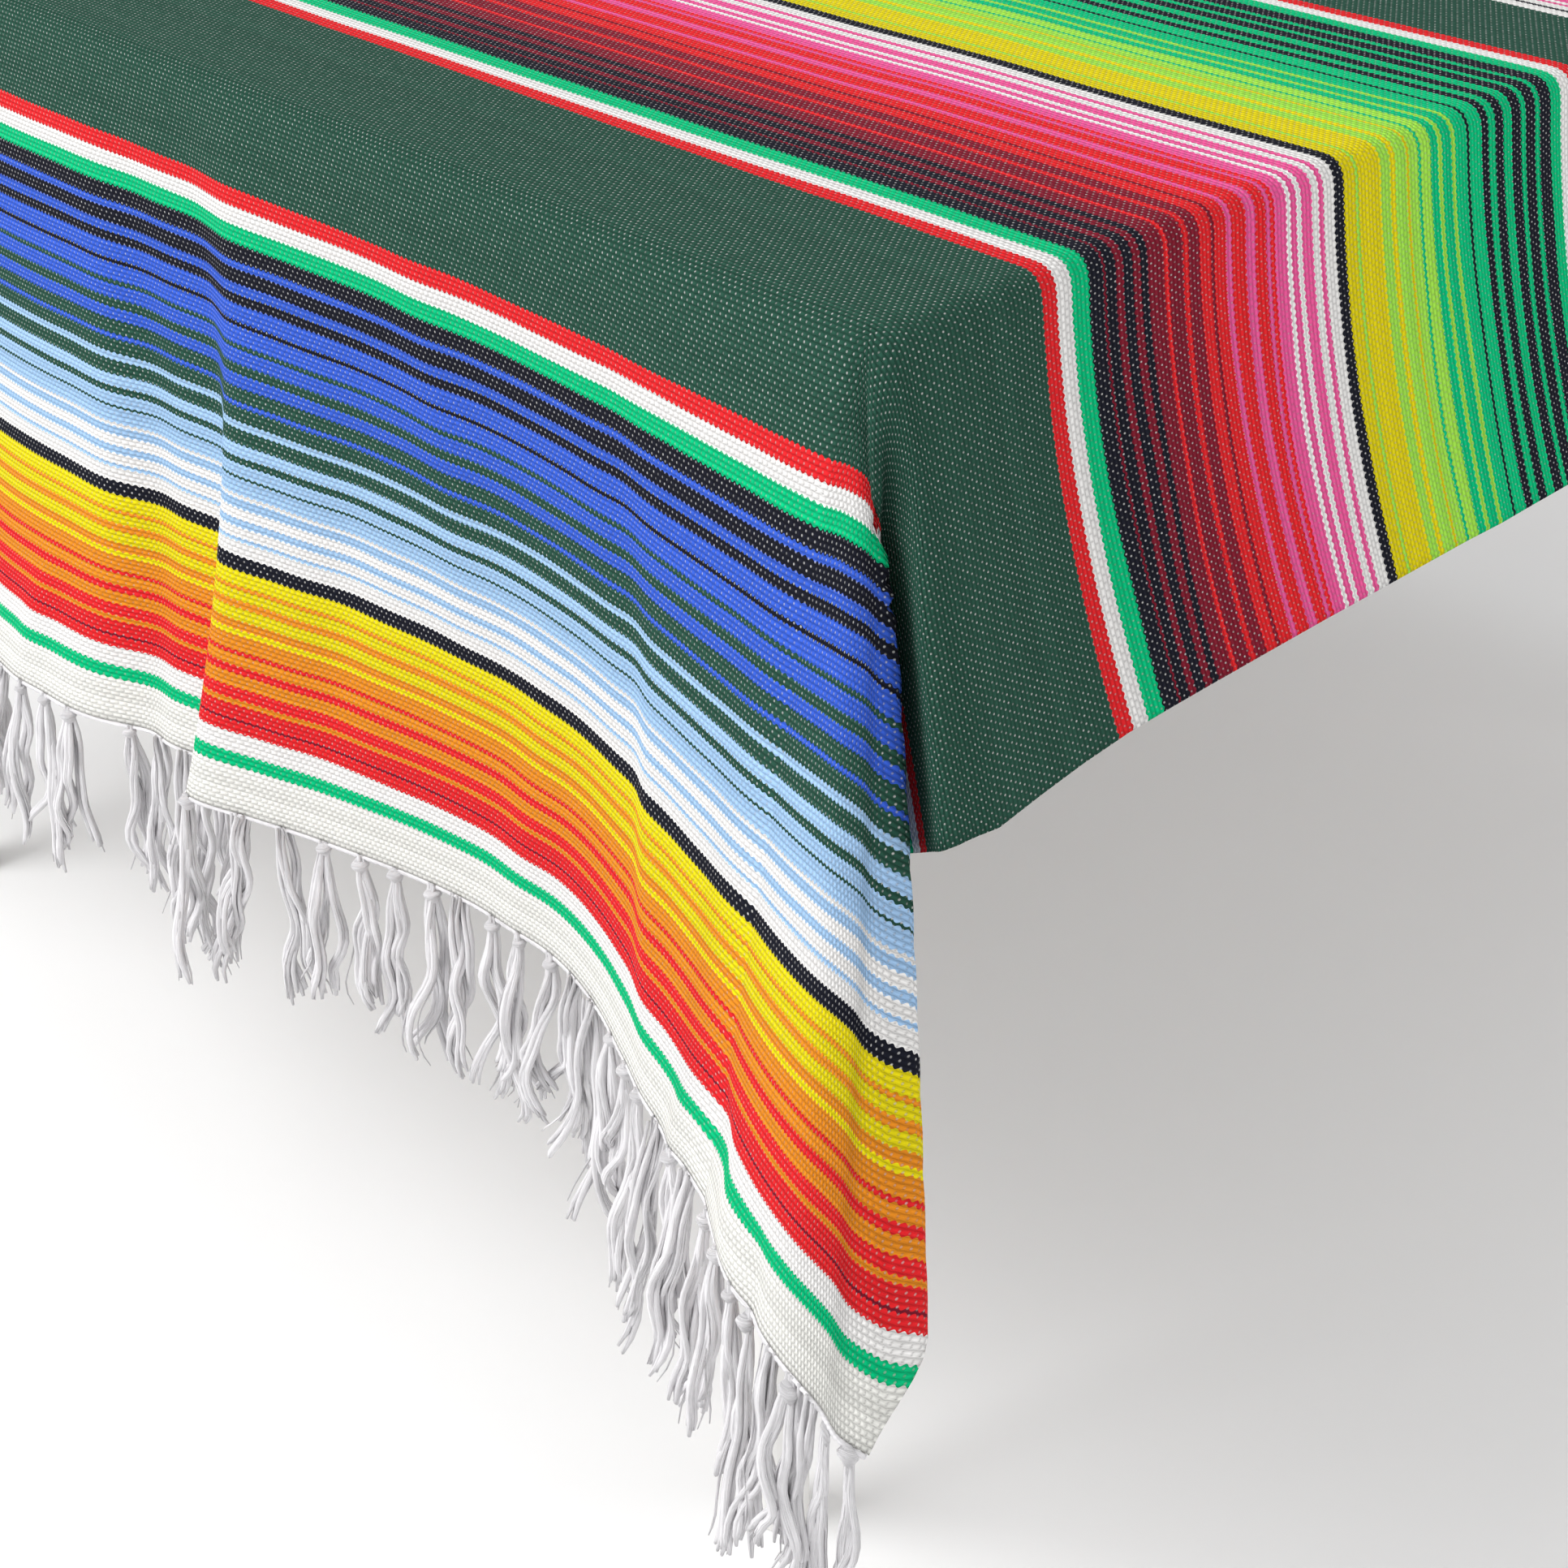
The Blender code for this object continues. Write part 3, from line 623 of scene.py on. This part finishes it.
def weave_material(weave):
    """Weft-faced weave: charted stripes, white warp dots in staggered rows, and raised weft floats, with
    painted shade where the floats dip.
    """
    nodes = Nodes("serape weave")
    flat = nodes.add("ShaderNodeUVMap", uv_map="flat").outputs[0]
    parts = nodes.add("ShaderNodeSeparateXYZ", flat).outputs
    half = nodes.sum("PINGPONG", parts[1], CLOTH_LENGTH / 2)
    row_place = nodes.sum("DIVIDE", half, weave.row)
    column_place = nodes.sum("DIVIDE", parts[0], weave.column)

    # Stripe edges are scalloped at each warp and wander a little
    turn = nodes.sum("MULTIPLY", column_place, 2 * math.pi)
    scallop = nodes.sum("MULTIPLY", nodes.sum("COSINE", turn), 0.20)
    stretched = nodes.vector(nodes.sum("MULTIPLY", parts[0], 14.0), nodes.sum("MULTIPLY", parts[1], 60.0))
    wander = nodes.sum("MULTIPLY_ADD", nodes.noise(stretched, 1.0), 0.9, -0.45)
    place = nodes.sum("ADD", nodes.sum("ADD", row_place, scallop), wander)
    stripes = chart_stripes(weave)
    colour = stripe_colour(nodes, place, stripes, CLOTH_LENGTH / 2 / weave.row)

    # One cell of the weave for each dot, moved by half a cell in every second row
    row = nodes.sum("FLOOR", row_place)
    shifted = nodes.sum("ADD", column_place, nodes.sum("FRACT", nodes.sum("MULTIPLY", row, 0.5)))
    cell = nodes.sum("FLOOR", shifted)
    from_dot = nodes.sum("SUBTRACT", nodes.sum("FRACT", shifted), 0.5)
    from_row = nodes.sum("SUBTRACT", nodes.sum("FRACT", row_place), 0.5)
    dot_x = nodes.sum("DIVIDE", from_dot, DOT_ACROSS / weave.column)
    dot_y = nodes.sum("DIVIDE", from_row, DOT_ALONG / weave.row)
    radius = nodes.sum("SQRT", nodes.sum("ADD", nodes.sum("POWER", nodes.sum("ABSOLUTE", dot_x), 2.0),
                                         nodes.sum("POWER", nodes.sum("ABSOLUTE", dot_y), 2.0)))
    dot = nodes.span(radius, 0.45, 1.15, 1.0, 0.0, smooth=True)
    each = nodes.add("ShaderNodeTexWhiteNoise", nodes.vector(cell, row), noise_dimensions="3D").outputs[0]
    strength = nodes.span(each, 0.0, 1.0, 0.3 * weave.dot_strength, weave.dot_strength)
    shown = nodes.sum("MULTIPLY", dot, strength)

    # Yarns differ a little from row to row and along their length
    per_row = nodes.add("ShaderNodeTexWhiteNoise", nodes.vector(row, 7.0), noise_dimensions="3D").outputs[0]
    fibres = nodes.vector(nodes.sum("MULTIPLY", parts[0], 240.0), nodes.sum("MULTIPLY", parts[1], 1600.0))
    tone_and_painted_shade = nodes.sum("MULTIPLY", nodes.span(per_row, 0.0, 1.0, 0.92, 1.06),
                      nodes.span(nodes.noise(fibres, 1.0, 3.0), 0.25, 0.75, 0.86, 1.12))

    # A float is raised between two dots of its row and falls to the rows beside it. Painted shade darkens
    # its colour where it falls, and its top is painted a little lighter.
    past_dot = nodes.sum("SUBTRACT", 0.5, nodes.sum("ABSOLUTE", from_dot))
    arch = nodes.sum("SUBTRACT", 1.0, nodes.sum("MULTIPLY", nodes.sum("MULTIPLY", past_dot, past_dot), 4.0))
    rib = nodes.sum("SUBTRACT", 1.0, nodes.sum("MULTIPLY", nodes.sum("MULTIPLY", from_row, from_row), 4.0))
    float_height = nodes.sum("MULTIPLY", arch, rib)
    tone_and_painted_shade = nodes.sum("MULTIPLY", tone_and_painted_shade, nodes.span(float_height, 0.0, 0.6, 0.78, 1.03))
    colour = nodes.blend(1.0, colour, nodes.vector(tone_and_painted_shade, tone_and_painted_shade, tone_and_painted_shade), kind="MULTIPLY")

    # The warp dots stand out on dark yarns and sink into bright ones
    pale = nodes.add("ShaderNodeRGBToBW", colour).outputs[0]
    shown = nodes.sum("MULTIPLY", shown, nodes.span(pale, 0.03, 0.20, 1.0, 0.45))
    colour = nodes.blend(shown, colour, (*weave.white, 1.0))
    nodes.put(nodes.shader.inputs["Base Color"], colour)
    height = nodes.sum("ADD", float_height, nodes.sum("MULTIPLY", dot, 0.5))
    height = nodes.sum("ADD", height, nodes.sum("MULTIPLY", nodes.noise(fibres, 1.0, 2.0), 0.25))
    nodes.put(nodes.shader.inputs["Normal"], nodes.bump(height, weave.relief))
    nodes.shader.inputs["Roughness"].default_value = 0.95
    nodes.shader.inputs["Specular IOR Level"].default_value = 0.08
    return nodes.material


def yarn_material(fringe):
    """Undyed cotton yarn: fine ply lines along each strand, with soft light and dark."""
    nodes = Nodes("fringe yarn")
    flat = nodes.add("ShaderNodeUVMap", uv_map="flat").outputs[0]
    parts = nodes.add("ShaderNodeSeparateXYZ", flat).outputs
    lines = nodes.vector(nodes.sum("MULTIPLY", parts[0], 1500.0), nodes.sum("MULTIPLY", parts[1], 40.0))
    fine = nodes.noise(lines, 1.0, 3.0)
    broad = nodes.noise(nodes.add("ShaderNodeTexCoord").outputs["Object"], 45.0, 2.0)
    light = nodes.sum("MULTIPLY", nodes.span(fine, 0.3, 0.7, 0.80, 1.05),
                      nodes.span(broad, 0.3, 0.7, 0.94, 1.03))
    colour = nodes.blend(1.0, (*fringe.colour, 1.0), nodes.vector(light, light, light), kind="MULTIPLY")
    nodes.put(nodes.shader.inputs["Base Color"], colour)
    nodes.put(nodes.shader.inputs["Normal"], nodes.bump(fine, 0.0010))
    nodes.shader.inputs["Roughness"].default_value = 0.9
    nodes.shader.inputs["Specular IOR Level"].default_value = 0.2
    return nodes.material


def paint_material(table):
    """Satin paint on wood: faint brush marks and a little unevenness in its gloss."""
    nodes = Nodes("table paint")
    place = nodes.add("ShaderNodeTexCoord").outputs["Object"]
    brushed = nodes.add("ShaderNodeMapping", place)
    brushed.inputs["Scale"].default_value = (8.0, 260.0, 8.0)
    marks = nodes.noise(brushed.outputs[0], 1.0, 3.0)
    clouds = nodes.noise(place, 5.0, 3.0)
    light = nodes.span(clouds, 0.3, 0.7, 0.95, 1.02)
    colour = nodes.blend(1.0, (*table.paint, 1.0), nodes.vector(light, light, light), kind="MULTIPLY")
    nodes.put(nodes.shader.inputs["Base Color"], colour)
    nodes.put(nodes.shader.inputs["Roughness"],
              nodes.span(marks, 0.3, 0.7, table.roughness - 0.08, table.roughness + 0.08))
    nodes.put(nodes.shader.inputs["Normal"], nodes.bump(marks, 0.0003))
    return nodes.material


def plain_material(name, colour, roughness):
    """One colour, for the stage."""
    nodes = Nodes(name)
    nodes.shader.inputs["Base Color"].default_value = (*colour, 1.0)
    nodes.shader.inputs["Roughness"].default_value = roughness
    return nodes.material


def tube_faces(count, rings, corners):
    """Faces of many closed tubes: four-sided ones between rings of corners, and a cap at both ends."""
    k = np.arange(corners)
    after = (k + 1) % corners
    first = np.arange(count)[:, None, None] * rings * corners
    base = first + np.arange(rings - 1)[:, None] * corners
    sides = np.stack([base + k, base + after, base + corners + after, base + corners + k], axis=-1)
    caps = np.stack([first[:, 0] + k[::-1], first[:, 0] + (rings - 1) * corners + k], axis=1)
    return [tuple(face) for face in sides.reshape(-1, 4).tolist() + caps.reshape(-1, corners).tolist()]


def tubes(paths, radii, sides):
    """Points, faces and flat places of tubes along many paths at once.

    paths is (tubes, points, 3) and radii is (tubes, points). Each ring is square to its path,
    and its first corner keeps to one side, so that a tube doesn't twist. The flat place of a
    point is its way round, there and back, and its way along, in metres.
    """
    run = np.gradient(paths, axis=1)
    along = np.cumsum(np.linalg.norm(run, axis=2), axis=1)
    run /= np.linalg.norm(run, axis=2, keepdims=True) + 1e-12
    aside = np.cross(run, np.array([0.31, 0.17, 0.05]) / 0.357)
    aside /= np.linalg.norm(aside, axis=2, keepdims=True) + 1e-12
    other = np.cross(run, aside)
    k = np.arange(sides)
    turn = 2 * np.pi * k / sides
    ring = (aside[:, :, None] * np.cos(turn)[:, None] + other[:, :, None] * np.sin(turn)[:, None])
    points = paths[:, :, None] + ring * radii[:, :, None, None]
    count, steps = paths.shape[:2]
    around = (np.minimum(k, sides - k) * 2 * np.pi / sides * radii.max()
              + np.arange(count)[:, None, None] * 0.05)
    flat = np.stack([np.broadcast_to(around, (count, steps, sides)),
                     np.broadcast_to(along[:, :, None], (count, steps, sides))], axis=-1)
    return points.reshape(-1, 3), tube_faces(count, steps, sides), flat.reshape(-1, 2)


def join(parts):
    """One list of points, one of faces and one of flat places from several."""
    faces, first = [], 0
    for some_points, some_faces, _ in parts:
        faces += [tuple(k + first for k in face) for face in some_faces]
        first += len(some_points)
    return np.vstack([part[0] for part in parts]), faces, np.vstack([part[2] for part in parts])


def hem_frame(across, end):
    """Point on the hem, its direction along the hem, downward and outward, at each place across."""
    hem = np.full_like(across, 0.0 if end < 0 else CLOTH_LENGTH)
    here = drape(across, hem)
    beside = drape(across + 0.002, hem) - drape(across - 0.002, hem)
    beside /= np.linalg.norm(beside, axis=1, keepdims=True)
    down = drape(across, hem + end * 0.002) - drape(across, hem - end * 0.002)
    down /= np.linalg.norm(down, axis=1, keepdims=True)
    outward = np.cross(down, beside) * end
    return here, beside, down, outward


def tassel_places(fringe, rng):
    """Place of each tassel across the cloth, a little uneven, and which of them are knotted."""
    count = fringe.tassels
    pitch = CLOTH_WIDTH / count
    across = (np.arange(count) + 0.5) * pitch + rng.uniform(-0.14, 0.14, count) * pitch
    return across, rng.uniform(0, 1, count) < KNOTTED_SHARE


def fringe_locks(end, length, across, knotted, strands, loose, rng):
    """Paths of some strands of all tassels of one end, and each strand's share of its full thickness.

    A tassel hangs plumb from its place on the hem and parts into three locks of unlike size. A
    lock's middle line winds round the tassel's line, and sways by sine waves that grow on the
    way down. Its strands keep their places in a flat oval that is narrow at a knot and wide
    where there is none, turn round each other, and open at the blunt cut end. loose is how
    far a strand strays from its lock.
    """
    count, locks, steps = len(across), LOCKS, STRAND_POINTS
    here, beside, down, outward = hem_frame(across, end)
    share = np.linspace(0, 1, steps)
    s = share[None, None, :]
    rows = np.arange(count)[:, None]

    # Middle line of each lock. These draws are the same for the thick strands and the wisps.
    length = length * rng.uniform(0.86, 1.12, (count, 1)) * rng.uniform(0.86, 1.04, (count, locks))
    phase = rng.uniform(0, 2 * np.pi, (count, locks, 4))
    swing = rng.uniform(0.25, 1.0, (count, locks, 2)) * rng.uniform(0.5, 1.5, (count, 1, 1))
    part = rng.normal(0, 0.075, (count, locks, 2)) + rng.normal(0, 0.075, (count, 1, 2))
    wind = (rng.uniform(0, 6.28, (count, 1, 1)) + np.arange(locks)[None, :, None] * 2 * np.pi / locks
            + rng.uniform(-3.6, 3.6, (count, 1, 1)) * s)
    grow = s**1.1 * (1.15 - 0.35 * s)
    apart = np.where(knotted[:, None, None], 0.0012, 0.0030) * (1 - s) + 0.0042 * s**0.8
    sway_hem = ((LONG_SWAY[0] * swing[..., :1] * np.sin(2.3 * np.pi * s + phase[..., :1])
                 + SHORT_SWAY[0] * np.sin(4.8 * np.pi * s + phase[..., 1:2])) * grow
                + part[..., :1] * length[..., None] * s + apart * np.cos(wind))
    sway_out = ((LONG_SWAY[1] * swing[..., 1:] * np.sin(2.1 * np.pi * s + phase[..., 2:3])
                 + SHORT_SWAY[1] * np.sin(4.3 * np.pi * s + phase[..., 3:])) * grow
                + np.abs(part[..., 1:]) * 0.8 * length[..., None] * s + apart * 0.7 * np.sin(wind))
    split = rng.uniform(0.25, 0.45, (count, 1))
    split = np.hstack([split, split + rng.uniform(0.24, 0.36, (count, 1))])

    # Strands are dealt out to the locks, and numbered in each
    order = (np.arange(strands) + 0.5) / strands
    lock_of = (order > split[:, :1]).astype(int) + (order > split[:, 1:])
    lock_strands = np.stack([(lock_of == k).sum(axis=1) for k in range(locks)], axis=1)
    before = np.cumsum(lock_strands, axis=1) - lock_strands
    number = np.arange(strands) - before[rows, lock_of]
    fellows = lock_strands[rows, lock_of]

    # Places of the strands in their lock's oval, on a sunflower's spiral
    spiral = np.sqrt((number + 0.5) / fellows)
    at = number * 2.39996 + rng.uniform(0, 6.28, (count, 1))
    spots = (np.stack([spiral * np.cos(at), spiral * np.sin(at)], axis=-1)
             + rng.normal(0, 0.12, (count, strands, 2)))
    tied = np.interp(share, LOCK_PLACES, TIED_WIDTH)
    wide = np.interp(share, LOCK_PLACES, LOOSE_WIDTH)
    width = np.where(knotted[:, None], tied, wide)[:, None]
    room = np.sqrt(fellows * locks / strands)[..., None] * rng.uniform(0.85, 1.20, (count, 1, 1))
    spin = rng.uniform(-3.6, 3.6, (count, 1, 1)) * s
    turned_x = spots[..., :1] * np.cos(spin) - spots[..., 1:] * np.sin(spin)
    turned_y = spots[..., :1] * np.sin(spin) + spots[..., 1:] * np.cos(spin)

    # A strand strays a little from its place, and is a little longer or shorter than its fellows
    waves = np.sin(rng.uniform(3, 9, (count, strands, 2, 1)) * share
                   + rng.uniform(0, 6.28, (count, strands, 2, 1)))
    own = rng.normal(0, 0.0005 + loose * 0.2, (count, strands, 2, 1)) * waves * share
    stray = rng.normal(0, 0.0010 + loose, (count, strands, 1)) * share**1.6
    reach = length[rows, lock_of][..., None] * (1 + rng.normal(0, 0.030, (count, strands, 1))) * share
    turn = np.clip(share / 0.35, 0, 1)
    along_cloth = reach * (1 - turn * 0.5) * 0.35
    along_fall = reach * (0.65 + 0.35 * turn * 0.5)
    side = turned_x * width * room * LOCK_OVAL[0] + own[:, :, 0] + stray + sway_hem[rows, lock_of]
    away = turned_y * width * room * LOCK_OVAL[1] + own[:, :, 1]
    fall = np.array([0.0, 0.0, -1.0])
    level = outward * [1, 1, 0]
    paths = (here[:, None, None]
             + down[:, None, None] * along_cloth[..., None] + fall * along_fall[..., None]
             + beside[:, None, None] * side[..., None] + outward[:, None, None] * away[..., None]
             + level[:, None, None] * (sway_out[rows, lock_of] + 0.0009)[..., None])
    plump = rng.uniform(0.78, 1.18, (count, strands, 1)) * (1 + 0.10 * waves[:, :, 0])
    taper = np.interp(share, TAPER_PLACES, TAPER)
    return paths.reshape(-1, steps, 3), (plump * taper).reshape(-1, steps)


def knots(end, across, rng):
    """Round knots under the hem: spheres pressed flat and swollen unevenly, as wrapped yarn is.

    A point is the knot's centre plus its unit sphere's point, scaled along the hem, outward
    and down, and swollen by a sine of its turn and height.
    """
    here, beside, down, outward = hem_frame(across, end)
    low = rng.uniform(0.0035, 0.0075, (len(across), 1))
    centre = here + down * low + outward * 0.0010
    turn = np.linspace(0, 2 * np.pi, 13)[:-1]
    rise = np.linspace(-0.5, 0.5, 8) * np.pi * 0.94
    turns, rises = np.meshgrid(turn, rise, indexing="xy")
    swell = 1 + 0.12 * np.sin(turns + 4 * rises)
    unit = np.stack([np.cos(turns) * np.cos(rises), np.sin(turns) * np.cos(rises), np.sin(rises)], axis=-1)
    unit = (unit * swell[..., None]).reshape(-1, 3)
    big = rng.uniform(0.85, 1.2, (len(across), 1, 1))
    points = (centre[:, None] + big * (beside[:, None] * unit[None, :, :1] * KNOT[0]
                                       + outward[:, None] * unit[None, :, 1:2] * KNOT[1]
                                       + down[:, None] * unit[None, :, 2:] * KNOT[2]))
    flat = np.stack([(turns + 3 * rises).ravel(), rises.ravel()], axis=-1) * 0.004
    flat = flat[None] + rng.uniform(0, 1, (len(across), 1, 2))
    return points.reshape(-1, 3), tube_faces(len(across), len(rise), len(turn)), flat.reshape(-1, 2)


def heading(end):
    """Beaded cord of locked warp ends that runs along the hem: a tube whose radius swells at each bead."""
    across = np.linspace(0.001, CLOTH_WIDTH - 0.001, 1400)
    here, beside, down, outward = hem_frame(across, end)
    path = here + down * 0.0012 + outward * 0.0010
    radius = 0.0011 + 0.0003 * np.abs(np.sin(across * np.pi / BEAD))
    return tubes(path[None], radius[None], 5)


def finish_piece(piece, slot, *nodes):
    """Put a piece on the part's one body and let it stand for its solids."""
    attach(piece, "root")
    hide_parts(*nodes)


class SERAPE_OT_cloth(bpy.types.Operator):
    """Drape the woven cloth over the table"""

    bl_idname = "serape.cloth"
    bl_label = "Woven cloth"

    def execute(self, context):
        """A grid of flat coordinates is hung over the table and given its wall."""
        size = context.scene.serape_cloth
        across = cloth_lines(SIDE_DROP, TABLE_WIDTH, size.cells_side, size.cells_across)
        along = cloth_lines(END_DROP, TABLE_LENGTH, size.cells_drop, size.cells_along)
        flat = np.stack(np.meshgrid(across, along, indexing="ij"), axis=-1)
        points = drape(flat[..., 0], flat[..., 1])
        cloth = smooth_mesh("serape", points, grid_faces(len(across), len(along)),
                            weave_material(context.scene.serape_weave), flat)
        wall = cloth.modifiers.new("Wall", "SOLIDIFY")
        wall.thickness = size.wall
        wall.offset = 1.0
        finish_piece(cloth, "serape_weave", "serape_cloth")
        return {"FINISHED"}


class SERAPE_OT_fringe(bpy.types.Operator):
    bl_idname = "serape.fringe"
    bl_label = "Knotted fringe"

    def execute(self, context):
        """Each end's strands, knots and heading are one piece."""
        fringe = context.scene.serape_fringe
        yarn = yarn_material(fringe)
        for name, end, seed in (("fringe_yarns_front", -1, 11), ("fringe_yarns_back", 1, 12)):
            rng = np.random.default_rng(seed)
            across, knotted = tassel_places(fringe, rng)
            parts = [knots(end, across[knotted], rng), heading(end)]
            for strands, radius, sides, loose in ((fringe.strands, fringe.strand, 5, 0.0),
                                                  (fringe.wisps, fringe.wisp, 3, 0.004)):
                paths, plump = fringe_locks(end, fringe.length, across, knotted, strands, loose,
                                            np.random.default_rng(seed + 10))
                parts.append(tubes(paths, plump * radius, sides))
            points, faces, flat = join(parts)
            piece = smooth_mesh(name, points, faces, yarn, flat)
            finish_piece(piece, "fringe_yarn", "fringe_front" if end < 0 else "fringe_back")
        return {"FINISHED"}


class SERAPE_OT_table(bpy.types.Operator):
    """Paint the table's board and legs"""

    bl_idname = "serape.table"
    bl_label = "Painted table"

    def execute(self, context):
        """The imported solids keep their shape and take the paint."""
        paint = paint_material(context.scene.serape_table)
        for name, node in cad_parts.items():
            if name.startswith("table_"):
                for slot in node.material_slots:
                    slot.material = paint
        return {"FINISHED"}


class SERAPE_OT_stage(bpy.types.Operator):
    """Set up the floor, the soft lights and the camera"""

    bl_idname = "serape.stage"
    bl_label = "Studio stage"

    def execute(self, context):
        """Pale floor, a soft key light, a fill, light from all round, and the camera at the corner."""
        stage = context.scene.serape_stage
        scene = context.scene
        scene.view_settings.view_transform = "Standard"
        bpy.ops.mesh.primitive_plane_add(size=24, location=(0, 0, -0.0005))
        floor = context.object
        floor.name = "floor"
        floor.data.materials.append(plain_material("pale floor", stage.floor, 0.7))
        for name, spot, size in LIGHTS:
            light = bpy.data.lights.new(name, "AREA")
            light.size = size
            light.energy = getattr(stage, name)
            lamp = bpy.data.objects.new(name, light)
            scene.collection.objects.link(lamp)
            lamp.location = spot
            aim = LIT_PLACE - spot
            lamp.rotation_euler = (math.acos(-aim[2] / np.linalg.norm(aim)), 0.0,
                                   math.atan2(aim[1], aim[0]) - math.pi / 2)
        world = bpy.data.worlds.new("pale surround")
        world.use_nodes = True
        backdrop = world.node_tree.nodes["Background"]
        backdrop.inputs["Color"].default_value = (1.0, 1.0, 1.0, 1.0)
        backdrop.inputs["Strength"].default_value = stage.sky_strength
        scene.world = world
        camera = bpy.data.cameras.new("camera")
        camera.sensor_width = 36.0
        camera.lens = stage.lens
        camera.clip_start = 0.05
        holder = bpy.data.objects.new("camera", camera)
        scene.collection.objects.link(holder)
        near_corner = np.array([TOP_HIGH[0], TOP_LOW[1], TOP_HIGH[2]])
        holder.location = near_corner + CAMERA_FROM_CORNER
        holder.rotation_euler = (math.pi / 2 - stage.pitch, 0.0, stage.azimuth)
        scene.camera = holder
        return {"FINISHED"}


class SERAPE_PT_panel(bpy.types.Panel):
    """Buttons for the serape's pieces, with their settings"""

    bl_label = "Serape"
    bl_idname = "SERAPE_PT_panel"
    bl_space_type = "VIEW_3D"
    bl_region_type = "UI"
    bl_category = "Serape"

    def draw(self, context):
        """List each operator with its settings under it."""
        for operator, settings in STEPS:
            self.layout.operator(operator)
            group = getattr(context.scene, settings)
            for name in group.__annotations__:
                self.layout.prop(group, name)


STEPS = (
    ("serape.stage", "serape_stage"),
    ("serape.cloth", "serape_cloth"),
    ("serape.fringe", "serape_fringe"),
    ("serape.table", "serape_table"),
)
GROUPS = (
    ("serape_cloth", SerapeClothSettings),
    ("serape_weave", SerapeWeaveSettings),
    ("serape_fringe", SerapeFringeSettings),
    ("serape_table", SerapeTableSettings),
    ("serape_stage", SerapeStageSettings),
)
OPERATORS = (SERAPE_OT_stage, SERAPE_OT_cloth, SERAPE_OT_fringe, SERAPE_OT_table)


def register():
    """Register the settings, the operators and the panel."""
    for name, group in GROUPS:
        bpy.utils.register_class(group)
        setattr(bpy.types.Scene, name, PointerProperty(type=group))
    for operator in OPERATORS:
        bpy.utils.register_class(operator)
    bpy.utils.register_class(SERAPE_PT_panel)


def unregister():
    """Undo register, in the other order."""
    bpy.utils.unregister_class(SERAPE_PT_panel)
    for operator in reversed(OPERATORS):
        bpy.utils.unregister_class(operator)
    for name, group in reversed(GROUPS):
        delattr(bpy.types.Scene, name)
        bpy.utils.unregister_class(group)


def main():
    """Build the stage and every piece."""
    register()
    bpy.ops.serape.stage()
    bpy.ops.serape.cloth()
    bpy.ops.serape.fringe()
    bpy.ops.serape.table()
    bpy.context.view_layer.update()


if __name__ == "__main__":
    main()
